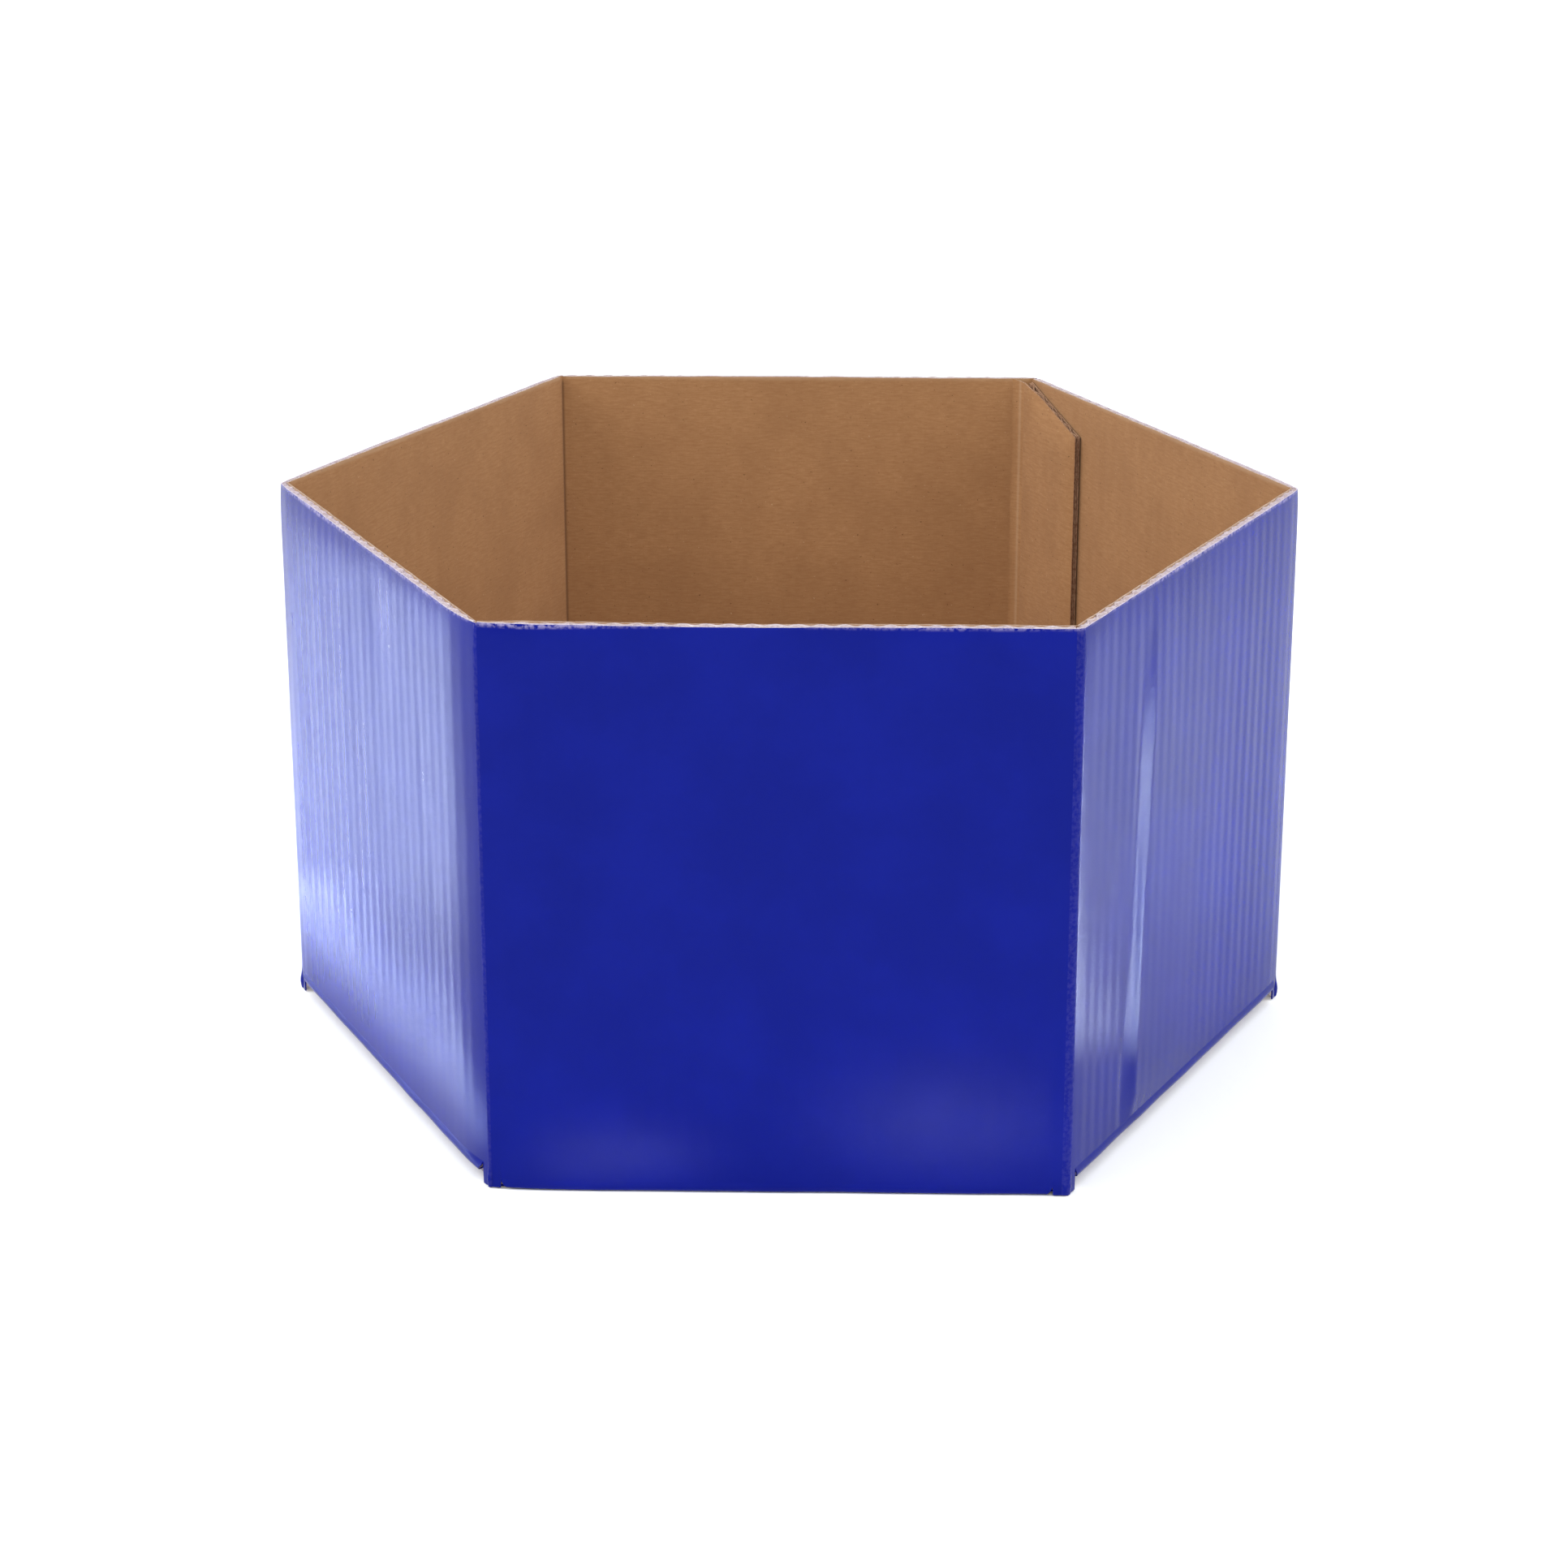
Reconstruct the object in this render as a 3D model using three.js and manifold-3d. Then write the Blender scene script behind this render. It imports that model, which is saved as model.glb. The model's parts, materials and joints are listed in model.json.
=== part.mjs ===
// Hexagonal flower box, folded from one die-cut blank of E-flute corrugated board.
//
// Six wall panels stand in a ring, joined by vertical creases. A glue flap on the back panel lies inside the
// back right panel and closes the ring. The floor is a hexagonal base panel that folds in from the front
// wall, under a tapered dust flap on each of the other five walls.
//
// Each panel is board of three plies: a printed outer liner, a fluted medium and a kraft inner liner. They
// are separate meshes. Units are millimetres, +Z is up, the front wall faces -Y, and the origin is at the
// centre of the base, on the surface that the box stands on.

import * as THREE from "three";
import { mergeVertices } from "three/addons/utils/BufferGeometryUtils.js";
import Module from "manifold-3d";

const wasm = await Module();
wasm.setup();

// ---------------------------------------------------------------- driving dimensions

const BOX_HEIGHT = 91; // from the surface that it stands on to the rim
const PANEL_WIDTH = 87.5; // from crease to crease, on a wall's inner face
const CORNER_TURN = THREE.MathUtils.degToRad(63.2); // at both ends of the front and the back wall
const SIDE_TURN = Math.PI - 2 * CORNER_TURN; // at the left and the right corner

const OUTER_LINER = 0.3;
const INNER_LINER = 0.3;
const FLUTE_HEIGHT = 1.1;
const FLUTE_PAPER = 0.2; // thickness of the medium's own paper
const FLUTE_PITCH = 3.36;
const PLY_GAP = 0.025; // glue film between the medium and a liner

const CREASE_CLEARANCE = 0.15; // from a crease's hinge line to the board on each side of it
const CREASE_STEPS = 5; // straight stretches in a crease's bend
const CREASE_FOOT = 0.2; // lower end of the vertical creases, above the surface
const LAYER_GAP = 0.3; // between the base panel and the flaps above it

const BASE_PANEL_INSET = 0.5; // from the walls' inner faces to the base panel's free edges
const BASE_PANEL_RADIUS = 3;

const FLAP_ROOT_INSET = 3; // from a wall's end to its flap's root
const FLAP_TIP_WIDTH = 11.5; // with the tapers it sets how far a dust flap reaches
const BACK_FLAP_TIP_WIDTH = 7.5;
const FLAP_TAPER = THREE.MathUtils.degToRad(50); // from the crease, beside the front and the back wall
const FLAP_SIDE_TAPER = THREE.MathUtils.degToRad(31); // from the crease, beside the left and right corners
const FLAP_RADIUS = 3;

const GLUE_FLAP_WIDTH = 18.5;
const GLUE_FLAP_ROOT = 0.6; // from the corner to the glue flap's board
const GLUE_FLAP_CHAMFER = 6.5; // height lost across the glue flap's width, at each end
const GLUE_FLAP_DROP = 0.5; // from the rim to the glue flap's upper corner
const GLUE_FLAP_FOOT = 1; // from the base creases' height to the glue flap's lower corner
const GLUE_GAP = 0.3; // between the glue flap and the wall it is glued to
const GLUE_FILM_GAP = 0.05; // on each side of the dried glue
const GLUE_EDGE = 3; // bare margin round the glue
const SEAM_SWEEP = 0.8; // share of its bend that the back right crease shows before the cut edge covers it

const ROUNDING_STEPS = 3; // straight stretches in a rounded corner

// ---------------------------------------------------------------- derived sizes

const BOARD = OUTER_LINER + PLY_GAP + FLUTE_HEIGHT + PLY_GAP + INNER_LINER;
const BASE_CREASE_Z = BOARD; // hinge line of the base panel, which lies on the surface
const FLAP_CREASE_Z = BASE_CREASE_Z + LAYER_GAP + BOARD; // hinge line of the dust flaps, one layer up

// A sheet lies in XY with its inner face at z = 0 and its outer face at z = -BOARD. Flutes run along Y.
const PLIES = {
  inner_liner: { low: -INNER_LINER, high: 0 },
  flutes: {
    low: -INNER_LINER - PLY_GAP - FLUTE_HEIGHT,
    high: -INNER_LINER - PLY_GAP,
  },
  outer_liner: { low: -BOARD, high: -BOARD + OUTER_LINER },
};

// The walls in the order that they are met going round the box, each from its first corner to its second.
const WALLS = [
  { name: "front", firstCorner: "front_left", endTurn: CORNER_TURN },
  { name: "front_right", firstCorner: "front_right", endTurn: SIDE_TURN },
  { name: "back_right", firstCorner: "right", endTurn: CORNER_TURN },
  { name: "back", firstCorner: "back_right", endTurn: CORNER_TURN },
  { name: "back_left", firstCorner: "back_left", endTurn: SIDE_TURN },
  { name: "front_left", firstCorner: "left", endTurn: CORNER_TURN },
];

const printed = new THREE.MeshStandardMaterial({
  color: 0x1b2388,
  roughness: 0.3,
  metalness: 0,
});
const kraft = new THREE.MeshStandardMaterial({
  color: 0xa67c52,
  roughness: 0.9,
  metalness: 0,
});
const medium = new THREE.MeshStandardMaterial({
  color: 0xd8ccc0,
  roughness: 0.95,
  metalness: 0,
});
const glue = new THREE.MeshStandardMaterial({
  color: 0xe8e0c8,
  roughness: 0.5,
  metalness: 0,
});
const PLY_MATERIALS = {
  outer_liner: printed,
  flutes: medium,
  inner_liner: kraft,
};

// ---------------------------------------------------------------- solids

// A closed geometry as a manifold-3d solid.
function solidFrom(geometry) {
  const bare = geometry.clone();
  bare.deleteAttribute("normal");
  bare.deleteAttribute("uv");
  const merged = mergeVertices(bare, 1e-4);
  return new wasm.Manifold(
    new wasm.Mesh({
      numProp: 3,
      vertProperties: merged.attributes.position.array,
      triVerts: new Uint32Array(merged.index.array),
    }),
  );
}

function geometryFrom(solid) {
  const mesh = solid.getMesh();
  const geometry = new THREE.BufferGeometry();
  geometry.setAttribute(
    "position",
    new THREE.BufferAttribute(new Float32Array(mesh.vertProperties), 3),
  );
  geometry.setIndex(
    new THREE.BufferAttribute(new Uint32Array(mesh.triVerts), 1),
  );
  return geometry;
}

function slab(shape, low, high) {
  return new THREE.ExtrudeGeometry(shape, {
    depth: high - low,
    bevelEnabled: false,
    curveSegments: ROUNDING_STEPS,
  }).translate(0, 0, low);
}

function namedMesh(name, geometry, material) {
  const mesh = new THREE.Mesh(geometry, material);
  mesh.name = name;
  return mesh;
}

// ---------------------------------------------------------------- outlines

// The polygon with each side moved inward by its own distance. Points run counter-clockwise.
function insetPolygon(points, distances) {
  const lines = points.map((point, i) => {
    const next = points[(i + 1) % points.length];
    const along = next.clone().sub(point).normalize();
    const inward = new THREE.Vector2(-along.y, along.x);
    return { along, point: point.clone().addScaledVector(inward, distances[i]) };
  });
  return lines.map((line, i) => {
    const before = lines[(i + lines.length - 1) % lines.length];
    const across = line.point.clone().sub(before.point);
    const share = across.cross(line.along) / before.along.cross(line.along);
    return before.point.clone().addScaledVector(before.along, share);
  });
}

// A polygon with a radius at each corner; a radius of 0 leaves the corner sharp.
function roundedShape(points, radii) {
  const shape = new THREE.Shape();
  points.forEach((point, i) => {
    const toBefore = points[(i + points.length - 1) % points.length]
      .clone()
      .sub(point);
    const toNext = points[(i + 1) % points.length].clone().sub(point);
    const halfAngle = Math.abs(toBefore.angleTo(toNext)) / 2;
    const setback = radii[i] / Math.tan(halfAngle);
    const start = point.clone().addScaledVector(toBefore.normalize(), setback);
    const end = point.clone().addScaledVector(toNext.normalize(), setback);
    if (i === 0) shape.moveTo(start.x, start.y);
    else shape.lineTo(start.x, start.y);
    if (radii[i] > 0)
      shape.quadraticCurveTo(point.x, point.y, end.x, end.y);
  });
  shape.closePath();
  return shape;
}

// The band between two radii, from one angle to another, round the origin.
function bandShape(innerRadius, outerRadius, fromAngle, toAngle) {
  const shape = new THREE.Shape();
  for (let step = 0; step <= CREASE_STEPS; step++) {
    const angle = fromAngle + ((toAngle - fromAngle) * step) / CREASE_STEPS;
    const [x, y] = [outerRadius * Math.cos(angle), outerRadius * Math.sin(angle)];
    if (step === 0) shape.moveTo(x, y);
    else shape.lineTo(x, y);
  }
  for (let step = CREASE_STEPS; step >= 0; step--) {
    const angle = fromAngle + ((toAngle - fromAngle) * step) / CREASE_STEPS;
    shape.lineTo(innerRadius * Math.cos(angle), innerRadius * Math.sin(angle));
  }
  shape.closePath();
  return shape;
}

// ---------------------------------------------------------------- corrugated board

// A zigzag of paper across the width, as deep as the flutes and running along Y through the whole outline.
function flutes(outline, low, high) {
  const points = outline.getPoints(ROUNDING_STEPS);
  const [left, right] = [
    Math.min(...points.map((p) => p.x)),
    Math.max(...points.map((p) => p.x)),
  ];
  const [bottom, top] = [
    Math.min(...points.map((p) => p.y)),
    Math.max(...points.map((p) => p.y)),
  ];
  const centre = (left + right) / 2;
  const halfSteps = Math.ceil((right - left) / FLUTE_PITCH) + 1;
  const crests = [];
  for (let i = -halfSteps; i <= halfSteps; i++) {
    const height = i % 2 === 0 ? low : high - FLUTE_PAPER;
    crests.push(new THREE.Vector2(centre + (i * FLUTE_PITCH) / 2, height));
  }
  const ribbon = new THREE.Shape([
    ...crests,
    ...crests.toReversed().map((p) => new THREE.Vector2(p.x, p.y + FLUTE_PAPER)),
  ]);
  // The ribbon is drawn in XZ and extruded along Y, past both ends of the outline.
  const wave = slab(ribbon, -top - 1, -bottom + 1).rotateX(Math.PI / 2);
  return geometryFrom(
    solidFrom(wave).intersect(solidFrom(slab(outline, low - 1, high + 1))),
  );
}

// The three plies of a piece of board with this outline, named after it.
function board(name, outline) {
  const sheet = new THREE.Group();
  for (const [ply, { low, high }] of Object.entries(PLIES)) {
    const geometry =
      ply === "flutes" ? flutes(outline, low, high) : slab(outline, low, high);
    sheet.add(namedMesh(`${name}_${ply}`, geometry, PLY_MATERIALS[ply]));
  }
  return sheet;
}

// Stands a sheet up: the base crease stays on the X axis, and the rim, at -Y in the sheet, goes to the top.
function stoodUp(sheet) {
  sheet.rotation.x = -Math.PI / 2;
  return sheet;
}

// ---------------------------------------------------------------- the ring of walls

// Where each wall starts and which way it runs, with the first wall along the front.
function layOutWalls() {
  const depth = 2 * PANEL_WIDTH * Math.sin(CORNER_TURN);
  const corner = new THREE.Vector2(-PANEL_WIDTH / 2, -depth / 2);
  let heading = 0;
  return WALLS.map((wall) => {
    const placed = { ...wall, corner: corner.clone(), heading };
    corner.x += PANEL_WIDTH * Math.cos(heading);
    corner.y += PANEL_WIDTH * Math.sin(heading);
    heading += wall.endTurn;
    return placed;
  });
}

// A group whose X axis runs along a wall's inner face and whose Y axis points into the box.
function wallFrame(wall) {
  const frame = new THREE.Group();
  frame.position.set(wall.corner.x, wall.corner.y, 0);
  frame.rotation.z = wall.heading;
  return frame;
}

function creaseHeight(wall) {
  return wall.name === "front" ? BASE_CREASE_Z : FLAP_CREASE_Z;
}

function wallBoard(wall) {
  const outline = new THREE.Shape([
    new THREE.Vector2(CREASE_CLEARANCE, creaseHeight(wall) - BOX_HEIGHT),
    new THREE.Vector2(
      PANEL_WIDTH - CREASE_CLEARANCE,
      creaseHeight(wall) - BOX_HEIGHT,
    ),
    new THREE.Vector2(PANEL_WIDTH - CREASE_CLEARANCE, -CREASE_CLEARANCE),
    new THREE.Vector2(CREASE_CLEARANCE, -CREASE_CLEARANCE),
  ]);
  const sheet = stoodUp(board(`wall_${wall.name}`, outline));
  sheet.position.z = creaseHeight(wall);
  return sheet;
}

// The outer liner's bend round a corner, from one wall's outer face to the next wall's.
function cornerCrease(wall, wallBefore) {
  const [before, after] = [wallBefore.heading, wall.heading].map(
    (heading) => heading - Math.PI / 2,
  );
  const turn = wallBefore.endTurn;
  const shown = wall.firstCorner === "back_right" ? SEAM_SWEEP : 1;
  const start = shown === 1 ? before : after - turn * shown;
  const bend = bandShape(
    BOARD - OUTER_LINER,
    BOARD,
    start,
    start + turn * shown,
  );
  const mesh = namedMesh(
    `crease_${wall.firstCorner}`,
    slab(bend, CREASE_FOOT, BOX_HEIGHT),
    printed,
  );
  mesh.position.set(wall.corner.x, wall.corner.y, 0);
  return mesh;
}

// ---------------------------------------------------------------- the base

// The outer liner's bend from a wall's outer face down to its flap's underside.
function baseCrease(wall) {
  const bend = bandShape(BOARD - OUTER_LINER, BOARD, Math.PI, 1.5 * Math.PI);
  const length = PANEL_WIDTH - 2 * FLAP_ROOT_INSET;
  const mesh = namedMesh(
    `base_crease_${wall.name}`,
    slab(bend, 0, length),
    printed,
  );
  const alongWall = new THREE.Matrix4().makeBasis(
    new THREE.Vector3(0, 1, 0),
    new THREE.Vector3(0, 0, 1),
    new THREE.Vector3(1, 0, 0),
  );
  mesh.setRotationFromMatrix(alongWall);
  mesh.position.set(FLAP_ROOT_INSET, 0, creaseHeight(wall));
  return mesh;
}

// The hexagonal floor, hinged to the front wall and free on its other five sides.
function basePanel(walls) {
  const front = walls[0];
  const corners = walls.map((wall) => wall.corner.clone().sub(front.corner));
  const insets = walls.map((wall) =>
    wall === front ? CREASE_CLEARANCE : BASE_PANEL_INSET,
  );
  const radii = walls.map((_, i) => (i < 2 ? 0 : BASE_PANEL_RADIUS));
  const outline = roundedShape(insetPolygon(corners, insets), radii);
  const sheet = board("base_panel", outline);
  sheet.position.z = BASE_CREASE_Z;
  return sheet;
}

// A tapered flap that folds in over the base panel. Its tapers keep it clear of the flaps beside it.
function dustFlap(wall, wallBefore) {
  const tipWidth = wall.name === "back" ? BACK_FLAP_TIP_WIDTH : FLAP_TIP_WIDTH;
  const [startSlant, endSlant] = [wallBefore.endTurn, wall.endTurn].map(
    (turn) => 1 / Math.tan(turn === SIDE_TURN ? FLAP_SIDE_TAPER : FLAP_TAPER),
  );
  const [rootStart, rootEnd] = [FLAP_ROOT_INSET, PANEL_WIDTH - FLAP_ROOT_INSET];
  const depth = (rootEnd - rootStart - tipWidth) / (startSlant + endSlant);
  const outline = roundedShape(
    [
      new THREE.Vector2(rootStart, CREASE_CLEARANCE),
      new THREE.Vector2(rootEnd, CREASE_CLEARANCE),
      new THREE.Vector2(rootEnd - depth * endSlant, depth),
      new THREE.Vector2(rootStart + depth * startSlant, depth),
    ],
    [0, 0, FLAP_RADIUS, FLAP_RADIUS],
  );
  const sheet = board(`flap_${wall.name}`, outline);
  sheet.position.z = FLAP_CREASE_Z;
  return sheet;
}

// ---------------------------------------------------------------- the glued joint

function glueFlap() {
  const top = FLAP_CREASE_Z - BOX_HEIGHT + GLUE_FLAP_DROP;
  const outline = new THREE.Shape([
    new THREE.Vector2(-GLUE_FLAP_WIDTH, top + GLUE_FLAP_CHAMFER),
    new THREE.Vector2(-GLUE_FLAP_ROOT, top),
    new THREE.Vector2(-GLUE_FLAP_ROOT, -GLUE_FLAP_FOOT),
    new THREE.Vector2(-GLUE_FLAP_WIDTH, -GLUE_FLAP_FOOT - GLUE_FLAP_CHAMFER),
  ]);
  const sheet = stoodUp(board("glue_flap", outline));
  sheet.position.set(0, BOARD + GLUE_GAP, FLAP_CREASE_Z);
  return sheet;
}

function glueLine() {
  const [bottom, top] = [
    FLAP_CREASE_Z + GLUE_FLAP_FOOT + GLUE_FLAP_CHAMFER + GLUE_EDGE,
    BOX_HEIGHT - GLUE_FLAP_DROP - GLUE_FLAP_CHAMFER - GLUE_EDGE,
  ];
  const width = GLUE_FLAP_WIDTH - GLUE_FLAP_ROOT - 2 * GLUE_EDGE;
  const film = new THREE.BoxGeometry(
    width,
    GLUE_GAP - 2 * GLUE_FILM_GAP,
    top - bottom,
  );
  film.translate(
    -GLUE_FLAP_ROOT - GLUE_EDGE - width / 2,
    GLUE_GAP / 2,
    (bottom + top) / 2,
  );
  return namedMesh("glue_line", film, glue);
}

// A frame at the back right corner, lined up with the wall that the glue flap is glued to.
function gluedJoint(backWall, backRightWall) {
  const joint = new THREE.Group();
  joint.position.set(backWall.corner.x, backWall.corner.y, 0);
  joint.rotation.z = backRightWall.heading;
  joint.add(glueFlap(), glueLine());
  return joint;
}

// ---------------------------------------------------------------- assembly

const flowerBox = new THREE.Group();
const walls = layOutWalls();
walls.forEach((wall, i) => {
  const wallBefore = walls[(i + walls.length - 1) % walls.length];
  const frame = wallFrame(wall);
  frame.add(wallBoard(wall), baseCrease(wall));
  frame.add(wall.name === "front" ? basePanel(walls) : dustFlap(wall, wallBefore));
  flowerBox.add(frame, cornerCrease(wall, wallBefore));
});
const [backRightWall, backWall] = ["back_right", "back"].map((name) =>
  walls.find((wall) => wall.name === name),
);
flowerBox.add(gluedJoint(backWall, backRightWall));

export default flowerBox;
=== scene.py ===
# The looks of a hexagonal flower box of E-flute corrugated board, built round the imported CAD model.
#
# Every panel and flap is board of three plies. Each ply's outline and place are read from its CAD node,
# and a finer mesh replaces it: a film-covered outer liner that shows the flutes, a wavy medium, and a
# kraft liner. At each crease, strips of all three plies bend between the two bodies that the crease joins.
#
# Every mesh has a point attribute "sheet", the place on its own flat sheet in metres, and the materials
# are drawn on it. A second attribute, for wear and painted light, is 1 at rubbed cut edges, 0 on the open
# sheet and -1 in the kraft creases, where it paints shade; a band of it down the glue flap's root paints a
# highlight.

import json
import math

import bmesh
import bpy
import numpy as np
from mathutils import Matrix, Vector


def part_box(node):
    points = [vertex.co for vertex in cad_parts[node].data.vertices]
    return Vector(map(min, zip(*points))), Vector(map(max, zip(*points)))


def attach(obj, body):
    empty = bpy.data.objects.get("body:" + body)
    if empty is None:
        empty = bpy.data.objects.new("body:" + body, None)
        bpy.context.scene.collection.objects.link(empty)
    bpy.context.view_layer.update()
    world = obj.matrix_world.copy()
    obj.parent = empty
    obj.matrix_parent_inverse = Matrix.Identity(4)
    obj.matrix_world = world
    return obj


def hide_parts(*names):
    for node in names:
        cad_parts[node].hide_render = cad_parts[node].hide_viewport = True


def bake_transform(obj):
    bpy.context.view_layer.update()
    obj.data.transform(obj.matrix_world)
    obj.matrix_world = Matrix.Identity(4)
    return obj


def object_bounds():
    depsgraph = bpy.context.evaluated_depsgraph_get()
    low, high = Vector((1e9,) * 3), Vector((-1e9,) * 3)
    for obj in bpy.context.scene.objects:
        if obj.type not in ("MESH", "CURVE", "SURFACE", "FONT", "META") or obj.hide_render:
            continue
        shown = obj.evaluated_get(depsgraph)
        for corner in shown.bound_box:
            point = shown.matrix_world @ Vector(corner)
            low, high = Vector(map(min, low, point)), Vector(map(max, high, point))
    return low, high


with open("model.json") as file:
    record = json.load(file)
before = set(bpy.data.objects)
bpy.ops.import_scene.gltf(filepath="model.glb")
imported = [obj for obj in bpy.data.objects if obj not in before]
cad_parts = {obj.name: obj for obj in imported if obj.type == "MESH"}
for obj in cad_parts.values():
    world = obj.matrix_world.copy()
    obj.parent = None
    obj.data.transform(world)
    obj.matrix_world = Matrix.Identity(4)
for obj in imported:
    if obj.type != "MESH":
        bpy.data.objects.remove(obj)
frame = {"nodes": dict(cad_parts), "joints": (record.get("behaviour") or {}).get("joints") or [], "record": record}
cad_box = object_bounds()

MM = 0.001

# ---------------------------------------------------------------- sizes taken from the frame

JOINTS = {joint["name"]: joint for joint in frame["joints"]}
CORNER_JOINTS = {
    "front_left": "front_left_fold",
    "front_right": "fold",
    "right": "right_fold",
    "back_right": "glue_flap_fold",
    "back_left": "back_left_fold",
    "left": "left_fold",
}
CORNERS = {name: np.array(JOINTS[joint]["pos_m"]) * (1, 1, 0) for name, joint in CORNER_JOINTS.items()}

# Each wall and the corner that it starts from, in the order that they are met going round the box.
WALL_STARTS = {
    "front": "front_left",
    "front_right": "front_right",
    "back_right": "right",
    "back": "back_right",
    "back_left": "back_left",
    "front_left": "left",
}
WALLS = list(WALL_STARTS)

RIM = cad_box[1].z
FRONT_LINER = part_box("wall_front_outer_liner")
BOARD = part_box("wall_front_inner_liner")[1].y - FRONT_LINER[0].y
LINER = FRONT_LINER[1].y - FRONT_LINER[0].y
CREASE_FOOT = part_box("crease_front_left")[0].z
UP = np.array((0.0, 0.0, 1.0))

# ---------------------------------------------------------------- sizes of the finer shapes

PITCH = 3.36 * MM  # from flute to flute
FLUTE_PAPER = 0.2 * MM
SAMPLES_PER_FLUTE = 8  # across a wall's liner
FLAP_SAMPLES = 6  # for each flute, across a flap's liner
MEDIUM_SAMPLES = 12  # for each flute, across the medium
SHEET_ROWS = 30
RIM_ROWS = 8  # how many of a wall's rows lie in its rim zone
RIM_ZONE = 0.9  # the share of a wall's height at which that zone begins
BEND_STEPS = 12  # round a bend
BASE_CREASE_COLUMNS = 60  # along a bend
ROOT_COLUMNS = 40
SHEET_GAP = 0.05  # metres between the sheets of one seed and the next, where the materials are drawn
SHARP_ANGLE = 35  # degrees between faces, above which an edge is shaded sharp

WASHBOARD = 0.016 * MM  # how far the flutes show through the outer liner
INNER_WASHBOARD = 0.010 * MM
CREASE_CRUSH = 2.2 * MM  # width beside a crease or a cut over which the flutes fade out
PLY_GAP = 0.03 * MM  # between the plies where they bend

# The lower ends of the corners stand proud: by how much, at what height, and how far up and down.
BULGE = 0.45 * MM
BULGE_HEIGHT = 1.4 * MM
BULGE_REACH = 1.7 * MM
# At a corner the outer liner rolls in: by how much, and from how far away it begins.
SOFT_ROLL = (1.0 * MM, 10 * MM)
SHARP_ROLL = (0.06 * MM, 3.0 * MM)
SLIGHT_ROLL = (0.3 * MM, 6 * MM)

RIM_PRESS = 0.30 * MM  # how far the knife has pressed the outer liner in, at the rim
RIM_PRESS_REACH = 2.4 * MM
RIM_WEAR = 0.25 * MM  # how far down from its cut edge the printed liner is rubbed
INNER_RIM_WEAR = 0.3 * MM
CORNER_WEAR = 0.43  # the film is a little rubbed all the way down a corner
CREASE_SHADE_WIDTH = 0.45 * MM  # how far from an inside corner the kraft liner is darkened with painted shade of its crease
OUTER_LINER_DROP = 0.10 * MM  # the printed liner is cut a little lower than the kraft one
MEDIUM_DROP = 0.20 * MM  # and at a corner the medium is cut lower still

EAR = 1.3 * MM  # width of the strip that reaches down to the floor beside each corner
EAR_STEP = 0.1 * MM  # width over which the wall's lower edge steps up from there to the base crease
# A flap's liner that starts within the margin of its hinge line is carried on to it. Inner liners stop
# short of it by the gap, so that they don't meet when the flap swings down.
HINGE_MARGIN = 0.5 * MM
HINGE_GAP = 0.05 * MM
BASE_SLACK = 0.30 * MM  # how far the printed liner stands off where a flap bends in

# The glue flap's free edges are crushed: by what share, over what width, and how far from the flap's root
# the crush is at its full strength.
FLAP_CRUSH = 0.42
FLAP_CRUSH_WIDTH = 1.8 * MM
FLAP_CRUSH_END = 6 * MM
ROOT_REACH = 1.4 * MM  # how far the bend at the glue flap's root reaches along the back wall
SKIN = 0.01 * MM  # how far that bend stands above the back wall
GLUED_BEND_START = 0.2  # the share of its turn at which the glued corner's bend starts


def lerp(a, b, share):
    return a + (b - a) * share


def smooth(share):
    share = np.clip(share, 0, 1)
    return share * share * (3 - 2 * share)


def soft_noise(x, y, seed, waves=7):
    """Smooth noise of about -1 to 1 over x and y, with features about 1 unit across."""
    rng = np.random.default_rng(seed)
    angles, phases = rng.uniform(0, math.tau, (2, waves))
    stretches = rng.uniform(0.5, 1.4, waves)
    total = np.zeros(np.broadcast(x, y).shape)
    for angle, phase, stretch in zip(angles, phases, stretches):
        total += np.sin(math.pi * stretch * (x * math.cos(angle) + y * math.sin(angle)) + phase)
    return total / math.sqrt(waves) / 1.4


# ---------------------------------------------------------------- planes and outlines


class Plane:
    """A sheet's own axes: u across the flutes, v along them, and w from the inner face to the outer one."""

    def __init__(self, origin, along_u, along_v, along_w):
        self.origin = np.array(origin, float)
        self.axes = np.array((along_u, along_v, along_w), float)

    def to_frame(self, uvw):
        return self.origin + uvw @ self.axes

    def from_frame(self, points):
        return (points - self.origin) @ self.axes.T


def next_corner(wall):
    return WALL_STARTS[WALLS[(WALLS.index(wall) + 1) % len(WALLS)]]


def wall_plane(wall):
    start, end = CORNERS[WALL_STARTS[wall]], CORNERS[next_corner(wall)]
    along = (end - start) / np.linalg.norm(end - start)
    return Plane(start, along, UP, np.cross(along, UP))


def wall_width(wall):
    return np.linalg.norm(CORNERS[next_corner(wall)] - CORNERS[WALL_STARTS[wall]])


def flap_name(wall):
    return "base_panel" if wall == "front" else f"flap_{wall}"


def hinge_height(wall):
    return JOINTS[f"{flap_name(wall)}_hinge"]["pos_m"][2]


def flap_plane(wall):
    """A flap's plane starts at its hinge line, with v into the box and the outer face down."""
    upright = wall_plane(wall)
    return Plane(upright.origin + hinge_height(wall) * UP, upright.axes[0], -upright.axes[2], -UP)


def glue_flap_plane():
    """The glue flap lies along the back right wall, and its u runs back from the corner."""
    along_wall = wall_plane("back_right")
    return Plane(CORNERS["back_right"], *along_wall.axes)


def turns_left(a, b, c):
    return (b[0] - a[0]) * (c[1] - b[1]) - (b[1] - a[1]) * (c[0] - b[0]) > 1e-14


def convex_hull(points):
    """The convex outline of flat points, counter-clockwise."""
    ordered = sorted(set(map(tuple, np.round(points, 7))))

    def half(run):
        chain = []
        for point in run:
            while len(chain) > 1 and not turns_left(chain[-2], chain[-1], point):
                chain.pop()
            chain.append(point)
        return chain[:-1]

    return np.array(half(ordered) + half(ordered[::-1]))


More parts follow.
